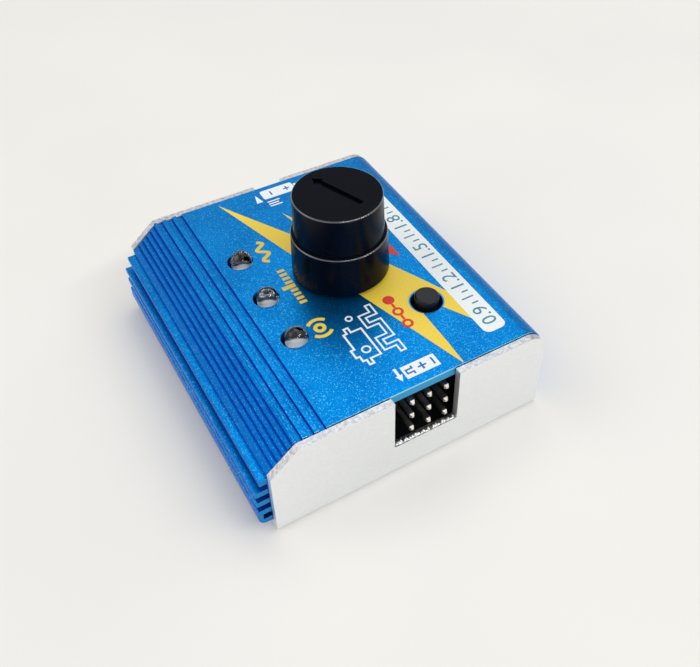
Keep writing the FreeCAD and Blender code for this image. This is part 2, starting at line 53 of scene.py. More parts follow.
tray_corner = np.array([TRAY[0].x, TRAY[0].y])   # left front corner of the tray
panel_z = SHELL[1].z
dial_xy = np.array([KNOB[0].x + KNOB[1].x, KNOB[0].y + KNOB[1].y]) / 2
button_xy = np.array([PLUNGER[0].x + PLUNGER[1].x, PLUNGER[0].y + PLUNGER[1].y]) / 2
lamp_x = (LENSES[0].x + LENSES[1].x) / 2
flange = (LENSES[1].x - LENSES[0].x) / 2
lamp_ys = np.linspace(LENSES[0].y + flange, LENSES[1].y - flange, 3)

film_thickness = 0.02 * mm    # screen-printed ink, as thick as one heavy pass
chance = np.random.default_rng(41)


# ---- colours and nodes ----
def srgb(code):
    """Linear colour of an sRGB hex code: each channel through the sRGB curve."""
    channels = np.array([int(code[i:i + 2], 16) for i in (1, 3, 5)]) / 255
    linear = np.where(channels <= 0.04045, channels / 12.92, ((channels + 0.055) / 1.055) ** 2.4)
    return (*[float(c) for c in linear], 1.0)


def per_metre(size_mm):
    """Texture scale that gives features of this size in millimetres."""
    return 1000.0 / size_mm


def add(tree, kind, links=None, **settings):
    """Adds one node; links maps its sockets to another node's output or to a value."""
    made = tree.nodes.new(kind)
    for name, value in settings.items():
        setattr(made, name, value)
    for socket, value in (links or {}).items():
        if isinstance(value, bpy.types.NodeSocket):
            tree.links.new(value, made.inputs[socket])
        else:
            made.inputs[socket].default_value = value
    return made


def blank(name):
    """An empty node material: the material, its node tree and the object's coordinates."""
    material = bpy.data.materials.new(name)
    material.use_nodes = True
    material.node_tree.nodes.clear()
    place = add(material.node_tree, "ShaderNodeTexCoord").outputs["Object"]
    return material, material.node_tree, place


def close(tree, sockets):
    """Ends a material with its one Principled shader."""
    shader = add(tree, "ShaderNodeBsdfPrincipled", sockets)
    add(tree, "ShaderNodeOutputMaterial", {"Surface": shader.outputs[0]})


def blend(tree, pattern, low, high, first, second):
    """Colour that goes from first to second as the pattern goes from low to high."""
    share = add(tree, "ShaderNodeMapRange",
                {"Value": pattern, "From Min": low, "From Max": high}).outputs[0]
    return add(tree, "ShaderNodeMix", {"Factor": share, "A": first, "B": second},
               data_type="RGBA").outputs["Result"]


# ---- finishes ----
def anodised_extrusion():
    """Bead-blasted aluminium under a dyed oxide layer.

    The blasting leaves pits, and their glints are painted into the colour as light flecks.
    The dye gives a deep blue with faint clouds; faces that turn to the side, on the fins and
    in the grooves, are painted a deeper blue as painted shade. The end faces are painted
    paler, and paler again towards their upper edge, as a painted reflection of the bright
    floor, with a painted highlight along the panel's upper arris.
    """
    material, tree, place = blank("anodised_aluminium_blue")
    # Real grit is about 0.05 mm. It is drawn at 0.11 mm so that it shows.
    grit = add(tree, "ShaderNodeTexVoronoi", {"Vector": place, "Scale": per_metre(0.11)})
    glint_cell = add(tree, "ShaderNodeSeparateColor", {"Color": grit.outputs["Color"]}).outputs[0]
    cloud = add(tree, "ShaderNodeTexNoise", {"Vector": place, "Scale": per_metre(7.0)}).outputs[0]
    level = blend(tree, cloud, 0.35, 0.65, srgb("#0079c9"), srgb("#0085d6"))
    normal = add(tree, "ShaderNodeSeparateXYZ",
                 {"Vector": add(tree, "ShaderNodeNewGeometry").outputs["Normal"]})
    # Painted shade: faces that turn to the side are painted a deeper blue than the top faces.
    sides_painted_deeper = blend(tree, normal.outputs[2], 0.6, 0.98, srgb("#0070d8"), level)
    # Painted highlight: the lightest grit cells are painted a pale cyan, as glints.
    painted_glints = blend(tree, glint_cell, 0.83, 1.0, sides_painted_deeper, srgb("#46baec"))
    end_on = add(tree, "ShaderNodeMath", {0: normal.outputs[1]},
                 operation="ABSOLUTE").outputs[0]
    height = add(tree, "ShaderNodeSeparateXYZ", {"Vector": place}).outputs[2]
    # Painted light: end faces are painted paler than the top, and paler again near their upper
    # edge, as a painted reflection of the floor; a painted highlight band runs along the upper
    # arris.
    end_painted_light = blend(tree, height, panel_z - 2.2 * mm, panel_z - 1.2 * mm,
                     srgb("#1f86cf"), srgb("#3c9fd2"))
    ends_with_painted_highlight = blend(tree, height, panel_z - 0.32 * mm, panel_z - 0.2 * mm, end_painted_light,
                 srgb("#9ee0f6"))
    colour = blend(tree, end_on, 0.8, 0.95, painted_glints, ends_with_painted_highlight)
    rough = add(tree, "ShaderNodeMapRange",
                {"Value": glint_cell, "To Min": 0.46, "To Max": 0.32}).outputs[0]
    pits = add(tree, "ShaderNodeTexNoise", {"Vector": place, "Scale": per_metre(0.16),
                                            "Detail": 3.0, "Roughness": 0.6}).outputs[0]
    relief = add(tree, "ShaderNodeBump", {"Height": pits, "Distance": 0.012 * mm}).outputs[0]
    close(tree, {"Base Color": colour, "Metallic": 0.97, "Roughness": rough, "Normal": relief})
    return material


def satin_sheet():
    """Rolled, matt-anodised aluminium sheet: an even pale satin with a faint rolled grain.

    Where the shears cut it, on the upper edges of the end plates, it is torn and bright.
    """
    material, tree, place = blank("satin_aluminium_sheet")
    stretched = add(tree, "ShaderNodeMapping", {"Vector": place, "Scale": (0.3, 0.3, 1.0)})
    grain = add(tree, "ShaderNodeTexNoise", {"Vector": stretched.outputs[0],
                                             "Scale": per_metre(0.12), "Detail": 3.0}).outputs[0]
    rolled = blend(tree, grain, 0.25, 0.75, srgb("#eff1f3"), srgb("#f7f9fb"))
    normal = add(tree, "ShaderNodeNewGeometry").outputs["Normal"]
    upward = add(tree, "ShaderNodeSeparateXYZ", {"Vector": normal}).outputs[2]
    height = add(tree, "ShaderNodeSeparateXYZ", {"Vector": place}).outputs[2]
    fold_top = 3 * mm
    above_bend = add(tree, "ShaderNodeMath", {0: height, 1: fold_top}, operation="GREATER_THAN")
    facing_up = add(tree, "ShaderNodeMath", {0: upward, 1: 0.35}, operation="GREATER_THAN")
    sheared = add(tree, "ShaderNodeMath", {0: above_bend.outputs[0], 1: facing_up.outputs[0]},
                  operation="MULTIPLY").outputs[0]
    rough = add(tree, "ShaderNodeMapRange",
                {"Value": sheared, "To Min": 0.5, "To Max": 0.4}).outputs[0]
    tear = add(tree, "ShaderNodeTexNoise", {"Vector": place, "Scale": per_metre(0.5),
                                            "Detail": 4.0, "Roughness": 0.65}).outputs[0]
    cut = blend(tree, tear, 0.35, 0.6, srgb("#b9babf"), srgb("#e2e2e6"))
    colour = blend(tree, sheared, 0.0, 1.0, rolled, cut)
    torn = add(tree, "ShaderNodeMath", {0: tear, 1: sheared}, operation="MULTIPLY").outputs[0]
    fine = add(tree, "ShaderNodeBump", {"Height": grain, "Distance": 0.0015 * mm}).outputs[0]
    relief = add(tree, "ShaderNodeBump", {"Height": torn, "Distance": 0.06 * mm,
                                          "Normal": fine}).outputs[0]
    close(tree, {"Base Color": colour, "Metallic": 1.0, "Roughness": rough, "Normal": relief})
    return material


def moulded_knob(top, step):
    """Moulded ABS, black: half dull down the sides, eroded and duller on the flat top.

    The sides show the panel only as a faint dark cast. The two rounded rims are rubbed to a
    polish by fingers and catch the light as thin lines; they are also painted paler, a painted
    highlight.
    """
    material, tree, place = blank("moulded_abs_black")
    rim_middle, rim_half = 0.09 * mm, 0.085 * mm   # a rounded rim, down from its upper edge
    rim_inside = 5.6 * mm    # radius that leaves out the arrow's edges
    height = add(tree, "ShaderNodeSeparateXYZ", {"Vector": place}).outputs[2]
    rims = []
    for rim in (top, step):
        below = add(tree, "ShaderNodeMath", {0: rim - rim_middle, 1: height},
                    operation="SUBTRACT").outputs[0]
        away = add(tree, "ShaderNodeMath", {0: below}, operation="ABSOLUTE").outputs[0]
        rims.append(add(tree, "ShaderNodeMath", {0: away, 1: rim_half},
                        operation="LESS_THAN").outputs[0])
    either = add(tree, "ShaderNodeMath", {0: rims[0], 1: rims[1]}, operation="ADD").outputs[0]
    plan = add(tree, "ShaderNodeVectorMath", {0: place, 1: (1.0, 1.0, 0.0)},
               operation="MULTIPLY").outputs[0]
    reach = add(tree, "ShaderNodeVectorMath", {0: plan, 1: (*dial_xy, 0.0)},
                operation="DISTANCE").outputs["Value"]
    outer = add(tree, "ShaderNodeMath", {0: reach, 1: rim_inside},
                operation="GREATER_THAN").outputs[0]
    rim_gloss_and_painted_highlight = add(tree, "ShaderNodeMath", {0: either, 1: outer},
                 operation="MULTIPLY").outputs[0]
    flat = add(tree, "ShaderNodeMath", {0: height, 1: top - 0.02 * mm},
               operation="GREATER_THAN").outputs[0]
    erosion = add(tree, "ShaderNodeTexNoise", {"Vector": place, "Scale": per_metre(0.22),
                                               "Detail": 3.0, "Roughness": 0.6}).outputs[0]
    body = blend(tree, erosion, 0.3, 0.7, srgb("#04060e"), srgb("#070a16"))
    # Painted highlight: the rims are painted paler than the body; their coat is real gloss.
    colour = blend(tree, rim_gloss_and_painted_highlight, 0.0, 1.0, body, srgb("#252932"))
    rough = add(tree, "ShaderNodeMapRange", {"Value": flat, "To Min": 0.24,
                                             "To Max": 0.6}).outputs[0]
    pits = add(tree, "ShaderNodeMath", {0: erosion, 1: flat}, operation="MULTIPLY").outputs[0]
    relief = add(tree, "ShaderNodeBump", {"Height": pits, "Distance": 0.012 * mm}).outputs[0]
    close(tree, {"Base Color": colour, "Roughness": rough, "Normal": relief, "IOR": 1.5,
                 "Specular IOR Level": 0.08, "Coat Weight": rim_gloss_and_painted_highlight, "Coat Roughness": 0.08,
                 "Coat IOR": 2.2})
    return material


def grained(name, dark, light, grain_mm, depth_mm, roughness, **constants):
    """A surface with one grain of a real size: it shifts the colour between two close shades,
    the roughness by a fifth either way, and raises the surface by its depth."""
    material, tree, place = blank(name)
    grain = add(tree, "ShaderNodeTexNoise", {"Vector": place, "Scale": per_metre(grain_mm),
                                             "Detail": 3.0, "Roughness": 0.6}).outputs[0]
    colour = blend(tree, grain, 0.3, 0.7, srgb(dark), srgb(light))
    rough = add(tree, "ShaderNodeMapRange", {"Value": grain, "To Min": roughness * 0.8,
                                             "To Max": roughness * 1.2}).outputs[0]
    relief = add(tree, "ShaderNodeBump", {"Height": grain, "Distance": depth_mm * mm}).outputs[0]
    fixed = {socket.replace("_", " "): value for socket, value in constants.items()}
    close(tree, {"Base Color": colour, "Roughness": rough, "Normal": relief, **fixed})
    return material


metal = {"Metallic": 1.0}
plastic = {"IOR": 1.5}

blue_case = anodised_extrusion()
silver_sheet = satin_sheet()
skirt_height = 6.2 * mm    # the knob's step, up from its foot
knob_black = moulded_knob(KNOB[1].z, KNOB[0].z + skirt_height)
# Aluminium torn by a punch: bright, crumpled, full of small glints.
torn_edge = grained("torn_aluminium", "#f4f4f2", "#ffffff", 0.3, 0.05, 0.32, **metal)
# Nylon button worn by fingers: dark slate with a broad soft highlight.
button_black = grained("nylon_button_black", "#0a0e15", "#10151e", 0.2, 0.006, 0.36,
                       Specular_IOR_Level=0.35, **plastic)
# Glass-filled nylon: matt black, finely pitted by its fibres.
header_black = grained("glass_filled_nylon_black", "#0b0b0c", "#101012", 0.25, 0.008, 0.55,
                       **plastic)
# Tinned square wire: warm white metal with slight clouding.
pin_metal = grained("tinned_pins", "#c9c3b2", "#f1eee4", 1.2, 0.004, 0.3, **metal)
# Solder-dipped legs and lugs: pale grey, gently uneven.
tin = grained("tinned_brass", "#b9b9b4", "#e2e2de", 1.2, 0.004, 0.3, **metal)
# Silver-plated reflector cups: nearly white, with soft reflections.
silver_plate = grained("silver_plate", "#f2f3f4", "#fdfdfd", 0.5, 0.004, 0.3, **metal)
# Reflector bowl pressed from sheet at the lamp's foot: pale, uneven, seen through the lens.
bowl_metal = grained("pressed_reflector_sheet", "#a9bccc", "#f4f8fb", 0.6, 0.05, 0.45, **metal)
# Bright nickel on brass: warm grey and near mirror.
nickel = grained("nickel_plate", "#b3b1a9", "#d8d6cf", 1.2, 0.004, 0.25, **metal)
# Zinc-plated screws: cool grey with faint bluish clouds.
zinc = grained("zinc_plated_steel", "#a9adb3", "#d4d8dc", 1.2, 0.004, 0.32, **metal)
# Rolled phosphor bronze: reddish gold, smooth.
spring = grained("phosphor_bronze", "#a9793b", "#d9a75c", 1.2, 0.004, 0.28, **metal)
# Die-cast zinc: dull grey with a visible casting skin.
cast_zinc = grained("zinc_casting", "#8f9296", "#b4b7ba", 0.6, 0.02, 0.5, **metal)
# Turned aluminium bar: light grey and smooth.
turned_bar = grained("turned_aluminium", "#bfc1c3", "#dcdde0", 1.2, 0.004, 0.28, **metal)
# Rolled spring steel: sharp, cool reflections.
snap_steel = grained("spring_steel", "#b0b2b5", "#d9dbdd", 1.2, 0.004, 0.18, **metal)
# Drawn aluminium can: bright and even.
drawn_can = grained("drawn_aluminium_can", "#c8cacc", "#e6e7e8", 1.2, 0.004, 0.3, **metal)
# Nickel crystal can: warm and softly brushed.
crystal_metal = grained("nickel_can", "#b9b7b0", "#dbd9d3", 1.2, 0.004, 0.28, **metal)
# Black solder mask: a wet-looking skin with slight waves over the tracks.
solder_mask = grained("black_solder_mask", "#0b0d0f", "#14171a", 0.9, 0.01, 0.3, **plastic)
# Paper phenolic: brown board with a fibrous mottle.
phenolic = grained("paper_phenolic", "#6d3f1c", "#8b5527", 0.35, 0.01, 0.5, **plastic)
# Moulded chip epoxy: charcoal, sandy and dull.
chip_resin = grained("moulded_epoxy_black", "#18181a", "#232326", 0.12, 0.008, 0.6, **plastic)
# Glazed resistor tops: black and shiny.
glazed = grained("glazed_resistor", "#101014", "#1b1b20", 0.3, 0.004, 0.22, **plastic)
# Fired capacitor ceramic: tan, half dull.
ceramic = grained("capacitor_ceramic", "#9a7650", "#b48d63", 0.2, 0.006, 0.45, **plastic)
# Screen-printed enamels: opaque and satin, with the blasted grit just showing through.
# Yellow: warm and full, the brightest area of the panel.
yellow_ink = grained("enamel_ink_yellow", "#eccb3a", "#f6d94c", 0.2, 0.008, 0.42, **plastic)
# White: slightly cool, since the blue lies under it.
white_ink = grained("enamel_ink_white", "#e2ecf1", "#f6fafc", 0.2, 0.008, 0.42, **plastic)
# Red: a signal colour, a little orange.
red_ink = grained("enamel_ink_red", "#cf2a1c", "#e23c28", 0.2, 0.008, 0.42, **plastic)
# Teal: quiet, for the numerals on the white strip.
teal_ink = grained("enamel_ink_teal", "#3f7f93", "#5393a6", 0.2, 0.008, 0.42, **plastic)
# Blue: close to the case, so that the marks look cut out of the white.
blue_ink = grained("enamel_ink_blue", "#1768b4", "#1f76c6", 0.2, 0.008, 0.42, **plastic)
# Water-clear cast epoxy: it bends and gathers the light, with a faint orange-peel skin.
clear_epoxy = grained("clear_epoxy", "#f2f9fd", "#fafdff", 0.7, 0.012, 0.03, IOR=1.53,
                      Transmission_Weight=1.0)

finishes = {
    "top_shell": blue_case, "base_tray": silver_sheet, "case_screws": zinc,
    "circuit_board": solder_mask, "knob": knob_black, "pot_shaft": turned_bar,
    "pot_wiper": spring, "pot_housing": cast_zinc, "pot_wafer": phenolic,
    "pot_terminals": tin, "pot_washer": nickel, "pot_nut": nickel,
    "button_plunger": button_black, "switch_base": header_black, "switch_dome": snap_steel,
    "switch_cover": tin, "switch_legs": tin, "lamp_lenses": clear_epoxy, "lamp_leads": tin,
    "output_header_housing": header_black, "output_header_pins": pin_metal,
    "input_header_housing": header_black, "input_header_pins": pin_metal,
    "microcontroller": chip_resin, "microcontroller_legs": tin, "regulator": chip_resin,
    "regulator_tabs": tin, "capacitor_foot": header_black, "capacitor_can": drawn_can,
    "resonator": crystal_metal, "chip_resistors": glazed, "chip_capacitors": ceramic,
    "chip_end_caps": tin,
}
for node_name, node_finish in finishes.items():
    for material_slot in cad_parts[node_name].material_slots:
        material_slot.material = node_finish


# ---- surfaces ----
def grid_faces(rows, columns, wrap_rows=False, wrap_columns=False):
    """Quads of a rows x columns grid of points, numbered row by row."""
    row = np.arange(rows if wrap_rows else rows - 1)[:, None]
    column = np.arange(columns if wrap_columns else columns - 1)[None, :]
    row_after, column_after = (row + 1) % rows, (column + 1) % columns
    corners = [row * columns + column, row * columns + column_after,
               row_after * columns + column_after, row_after * columns + column]
    return np.stack(np.broadcast_arrays(*corners), -1).reshape(-1, 4)


def piece(name, parts, material, body="case", smooth=False):
    """One object from (points, faces) parts, placed in its mesh and riding on a body."""
    points, faces, start = [], [], 0
    for part_points, part_faces in parts:
        flat = np.asarray(part_points, float).reshape(-1, 3)
        points.append(flat)
        faces += [[int(i) + start for i in face] for face in part_faces]
        start += len(flat)
    mesh = bpy.data.meshes.new(name)
    mesh.from_pydata(np.concatenate(points).tolist(), [], faces)
    mesh.polygons.foreach_set("use_smooth", [smooth] * len(mesh.polygons))
    mesh.materials.append(material)
    mesh.update()
    made = bpy.data.objects.new(name, mesh)
    bpy.context.scene.collection.objects.link(made)
    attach(made, body)


def on_panel(points_mm, level=0.0):
    """Points (x, y) in mm from the tray's left front corner, as x, y, z above the panel."""
    flat = np.asarray(points_mm, float) * mm + tray_corner
    height = np.full(len(flat), panel_z + level)
    return np.column_stack([flat, height])


def signed_area(outline):
    """Half the sum of x * next y - next x * y: positive when it runs anticlockwise."""
    x, y = outline[:, 0], outline[:, 1]
    return 0.5 * np.sum(x * np.roll(y, -1) - np.roll(x, -1) * y)


def film(outline_mm, layer=0):
    """A flat printed area: its outline drawn once at the film's foot and once at its top."""
    outline = np.asarray(outline_mm, float)
    if signed_area(outline) < 0:
        outline = outline[::-1]
    count = len(outline)
    low = on_panel(outline, layer * film_thickness)
    high = on_panel(outline, (layer + 1) * film_thickness)
    walls = grid_faces(2, count, wrap_columns=True)
    lids = [list(range(count, 2 * count)), list(range(count - 1, -1, -1))]
    return np.concatenate([low, high]), walls.tolist() + lids


def stroke(path_mm, width, closed=False, layer=0):
    """A printed line: a flat rectangular section carried along the path, mitred at turns.

    Each point moves out by half the width along the mean of its two normals, divided by
    the cosine of half the turn.
    """
    path = np.asarray(path_mm, float)
    if closed and signed_area(path) < 0:
        path = path[::-1]
    ahead = np.roll(path, -1, 0) - path
    if not closed:
        ahead[-1] = ahead[-2]
    ahead /= np.linalg.norm(ahead, axis=1)[:, None]
    behind = np.roll(ahead, 1, 0)
    if not closed:
        behind[0] = ahead[0]
    side = np.column_stack([-(ahead + behind)[:, 1], (ahead + behind)[:, 0]])
    side /= np.linalg.norm(side, axis=1)[:, None]
    square = np.column_stack([-ahead[:, 1], ahead[:, 0]])
    cosine = np.abs(np.sum(side * square, axis=1))
    least_cosine = 0.35    # keeps the mitre of a sharp turn short
    reach = side * (width / 2 / np.clip(cosine, least_cosine, 1))[:, None]
    low, high = layer * film_thickness, (layer + 1) * film_thickness
    section = np.stack([on_panel(path - reach, low), on_panel(path + reach, low),
                        on_panel(path + reach, high), on_panel(path - reach, high)], 1)
    faces = grid_faces(len(path), 4, wrap_rows=closed, wrap_columns=True)[:, ::-1].tolist()
    if not closed:
        last = 4 * (len(path) - 1)
        faces += [[0, 1, 2, 3], [last + 3, last + 2, last + 1, last]]
    return section, faces


def arc(centre, radius, start, end, count=24):
    """Points of a circle's arc from start to end, in degrees."""
    turn = np.radians(np.linspace(start, end, count))
    return np.column_stack([centre[0] + radius * np.cos(turn), centre[1] + radius * np.sin(turn)])


def ring(centre, radius, count=24):
    """Points of a circle to be closed by a stroke: the last stops short of the first."""
    return arc(centre, radius, 0, 345, count)


def round_box(x0, y0, x1, y1, radius, count=6):
    """Outline of a rectangle with rounded corners."""
    corners = [((x1 - radius, y1 - radius), 0), ((x0 + radius, y1 - radius), 90),
               ((x0 + radius, y0 + radius), 180), ((x1 - radius, y0 + radius), 270)]
    return np.concatenate([arc(c, radius, a, a + 90, count) for c, a in corners])


def reading(x_foot, y_start, points):
    """Points of a sign that reads towards the rear: (along, up) to panel (x, y) in mm."""
    points = np.asarray(points, float)
    return np.column_stack([x_foot - points[:, 1], y_start + points[:, 0]])


def turned(profile, centre, steps=48):
    """A (radius, height) profile in metres carried round a vertical axis."""
    turn = np.linspace(0, 2 * math.pi, steps, endpoint=False)
    radius, height = np.asarray(profile, float).T
    x = centre[0] + radius[:, None] * np.cos(turn)
    y = centre[1] + radius[:, None] * np.sin(turn)
    z = np.broadcast_to(height[:, None], x.shape)
    faces = grid_faces(len(profile), steps, wrap_columns=True).tolist()
    lids = [list(range(steps - 1, -1, -1)),
            list(range((len(profile) - 1) * steps, len(profile) * steps))]
    return np.stack([x, y, z], -1), faces + lids


# ---- printed panel ----
dial = (dial_xy - tray_corner) / mm
button = (button_xy - tray_corner) / mm
clear_of_dial = 5.3       # the ink stops where the washer clamps the panel
clear_of_button = 2.42
mode_foot = 15.75         # the three mode signs stand in one row beside the lamps
rear_mode, middle_mode, front_mode = 31.0, 20.95, 13.6
servo_foot, pulse_foot, diagram_start = 19.4, 22.55, 6.9
key_foot, key_start = 26.0, 9.8
pin_marks_start, battery_start = 2.85, 44.8
plus_foot, minus_foot = 23.4, 25.0
battery_plus_foot, battery_minus_foot = 24.9, 22.3

rear_spike = np.concatenate([[(13.5, 46.4), (15.5, 42.8), (19.9, 34.95)],
                             arc(dial, clear_of_dial, 93, 140, 12), [(17.9, 31.2)]])
small_spike = np.concatenate([[(21.05, 40.0)], arc(dial, clear_of_dial, 62, 90, 8)])
front_spikes = np.concatenate([
    [(27.5, 1.18), (27.62, 1.3), (27.8, 5.5), (27.86, 11.2)],
    arc(button, clear_of_button, 225, -57, 40),
    [(33.0, 6.9), (33.0, 13.0), (30.8, 18.0), (29.0, 22.0)],
    arc(dial, clear_of_dial, -9, -100, 20)])
piece("print_flash", [film(rear_spike), film(small_spike), film(front_spikes)],
      yellow_ink)

strip_left, strip_right, strip_front, strip_rear = 32.9, 36.35, 3.7, 42.3
piece("print_strip", [film(round_box(strip_left, strip_front, strip_right, strip_rear, 1.0),
                           layer=1)], white_ink)

scale_foot = strip_right - 0.72
ticks = []
tick_start, tick_end, tick_step = 5.6, 41.0, 1.25
for index, along in enumerate(np.arange(tick_start, tick_end, tick_step)):
    if index % 6 < 3:      # a numeral takes the place of these
        continue
    tall = 1.8 if index % 6 == 4 else 1.0
    ticks.append(stroke(reading(scale_foot, along, [(0, 0.1), (0, 0.1 + tall)]), 0.24, layer=2))
piece("print_strip_ticks", ticks, teal_ink)


def numerals(name, text, x_foot, y_start, tall, material, layer):
    """Plain numerals from the built-in letter shapes, made a mesh and then put in place."""
    letters = bpy.data.curves.new(name, "FONT")
    height_share = 0.7    # a numeral's height over the letters' size
    letters.body, letters.size = text, tall * mm / height_share
    letters.extrude, letters.resolution_u = film_thickness / 2, 3
    made = bpy.data.objects.new(name, letters)
    bpy.context.scene.collection.objects.link(made)
    bpy.context.view_layer.update()
    mesh = bpy.data.meshes.new_from_object(made)
    bpy.data.objects.remove(made)
    corner = on_panel([(x_foot, y_start)], (layer + 0.5) * film_thickness)[0]
    mesh.transform(Matrix.Translation(corner) @ Matrix.Rotation(math.pi / 2, 4, "Z"))
    mesh.materials.clear()
    mesh.materials.append(material)
    made = bpy.data.objects.new(name, mesh)
    bpy.context.scene.collection.objects.link(made)
    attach(made, "case")


number_start, number_step, number_height = 4.9, 7.5, 2.1
for index, value in enumerate(("0.9", "1.2", "1.5", "1.8", "2.1")):
    numerals(f"print_strip_number_{index}", value, scale_foot + 0.1,
             number_start + index * number_step, number_height, teal_ink, 2)

mode_signs = [
    # rear lamp: a steady sweep, drawn as a wave
    stroke(reading(mode_foot, rear_mode, np.column_stack([
        np.linspace(0, 4.6, 41), 0.9 + 0.65 * np.sin(np.linspace(0, 4 * math.pi, 41))])), 0.55),
    # front lamp: a knob between two turning arcs
    stroke(reading(mode_foot, front_mode, ring((2.2, 0.9), 0.6)), 0.5, closed=True),
    stroke(reading(mode_foot, front_mode, arc((2.2, 0.9), 1.6, 130, 230, 10)), 0.5),
    stroke(reading(mode_foot, front_mode, arc((2.2, 0.9), 1.6, 50, -50, 10)), 0.5),
]
# middle lamp: a row of marks about a tall centre mark
for index in range(9):
    tall, wide = (1.9, 0.7) if index == 4 else (1.05, 0.5)
    middle = 0.35 + index * 0.88
    mode_signs.append(stroke(reading(mode_foot, middle_mode, [(middle, 0), (middle, tall)]),
                             wide))
piece("print_mode_signs", mode_signs, yellow_ink)

servo_outline = [(0.9, 0), (6.1, 0), (6.1, 1.5), (7.0, 1.5), (7.0, 2.1), (6.1, 2.1), (6.1, 2.6),
                 (3.2, 2.6), (3.2, 3.1), (1.8, 3.1), (1.8, 2.6), (0.9, 2.6), (0.9, 2.1),
                 (0, 2.1), (0, 1.5), (0.9, 1.5)]
pulse_outline = [(0, 0), (1.9, 0), (1.9, 1.7), (2.9, 1.7), (2.9, 0), (6.4, 0), (6.4, 1.7),
                 (7.4, 1.7), (7.4, 0), (9.4, 0), (9.4, 0.72), (8.12, 0.72), (8.12, 2.42),
                 (5.68, 2.42), (5.68, 0.72), (3.62, 0.72), (3.62, 2.42), (1.18, 2.42),
                 (1.18, 0.72), (0, 0.72)]
white_signs = [
    stroke(reading(servo_foot, diagram_start, servo_outline), 0.27, closed=True),
    stroke(reading(servo_foot, diagram_start, ring((2.5, 1.25), 0.55)), 0.24, closed=True),
    stroke(reading(servo_foot, diagram_start, ring((8.4, 0.55), 0.42, 20)), 0.24, closed=True),
    stroke(reading(pulse_foot, diagram_start, pulse_outline), 0.25, closed=True),
    # an arrow towards the pins
    film(reading(19.9, 2.4, [(0, 0.5), (1.05, 0), (1.05, 0.32), (2.3, 0.32), (2.3, 0.68),
                             (1.05, 0.68), (1.05, 1.0)])),
    film(round_box(20.1, 2.4, 25.0, 4.5, 0.1, 3)),
    # supply end: a battery with its nub, a small inward arrow and a row of bars
    film(round_box(20.2, 44.2, 25.5, 46.4, 0.35)),
    film(round_box(25.62, 44.8, 26.1, 45.8, 0.1, 3)),
    film([(18.8, 43.9), (19.8, 43.9), (19.3, 45.9)]),
]
white_signs += [film(round_box(20.3, y, 22.3 - 0.35 * (index % 2), y + 0.26, 0.08, 3))
                for index, y in enumerate((42.2, 42.75, 43.3))]
piece("print_white_signs", white_signs, white_ink)

pulse_mark = [(0, 0.15), (0.4, 0.15), (0.4, 1.05), (1.0, 1.05), (1.0, 0.15), (1.4, 0.15)]
box_marks = [
    stroke(reading(21.6, 2.75, pulse_mark), 0.24, layer=1),
    stroke(reading(plus_foot, pin_marks_start, [(0, 0.6), (0.48, 0.6)]), 0.28, layer=1),
    stroke(reading(plus_foot, pin_marks_start, [(0.72, 0.6), (1.2, 0.6)]), 0.28, layer=1),
    stroke(reading(plus_foot, pin_marks_start, [(0.6, 0.0), (0.6, 1.2)]), 0.24, layer=1),
    stroke(reading(minus_foot, pin_marks_start, [(0.0, 0.6), (1.2, 0.6)]), 0.26, layer=1),
    stroke(reading(battery_minus_foot, battery_start, [(0.0, 0.6), (1.0, 0.6)]), 0.24, layer=1),
    stroke(reading(battery_plus_foot, battery_start, [(0.0, 0.6), (0.38, 0.6)]), 0.24, layer=1),
    stroke(reading(battery_plus_foot, battery_start, [(0.62, 0.6), (1.0, 0.6)]), 0.24, layer=1),
    stroke(reading(battery_plus_foot, battery_start, [(0.5, 0.1), (0.5, 1.1)]), 0.24, layer=1),
]
piece("print_box_marks", box_marks, blue_ink)

red_signs = [
    film([(31.3, 22.7), (31.3, 25.7), (29.8, 24.2)]),
    # mode key: two rings and a disc, joined in a row
    stroke(reading(key_foot, key_start, ring((0.85, 0.85), 0.6)), 0.38, closed=True, layer=1),
    stroke(reading(key_foot, key_start, ring((3.35, 0.85), 0.6)), 0.38, closed=True, layer=1),
    film(reading(key_foot, key_start, ring((5.85, 0.85), 0.82, 28)), layer=1),
    stroke(reading(key_foot, key_start, [(1.68, 0.85), (2.52, 0.85)]), 0.34, layer=1),
    stroke(reading(key_foot, key_start, [(4.18, 0.85), (4.98, 0.85)]), 0.34, layer=1),
]
piece("print_red_signs", red_signs, red_ink)


# ---- burrs left by shearing ----
def burr(path, width, tall, along):
    """A ragged lip along an edge: a small half-round section whose height and lean wander.

    path is points in metres; the section is width wide and up to tall high, and repeats
    at along even places. Its half circle runs over z = sin(turn), x = cos(turn).
    """
    path = np.asarray(path, float)
    lengths = np.concatenate([[0], np.cumsum(np.linalg.norm(np.diff(path, axis=0), axis=1))])
    spots = np.linspace(0, lengths[-1], along)
    line = np.column_stack([np.interp(spots, lengths, path[:, k]) for k in range(3)])
    ragged = np.convolve(chance.uniform(0, 1, along + 8), np.ones(3) / 3, "same")[4:-4]
    ragged = np.clip((ragged - 0.35) * 2.2, 0.06, 1)
    lean = np.convolve(chance.uniform(-1, 1, along + 8), np.ones(5) / 5, "same")[4:-4]
    turn = np.linspace(0, math.pi, 6)
    across = np.cos(turn)[None, :] * width / 2 + lean[:, None] * np.sin(turn) * width * 0.3
    up = np.sin(turn)[None, :] * ragged[:, None] * tall
    points = line[:, None, :] + np.stack([np.zeros_like(across), across, up], -1)
    faces = grid_faces(along, 6, wrap_columns=True).tolist()
    last = 6 * (along - 1)
    return points, faces + [list(range(5, -1, -1)), list(range(last, last + 6))]


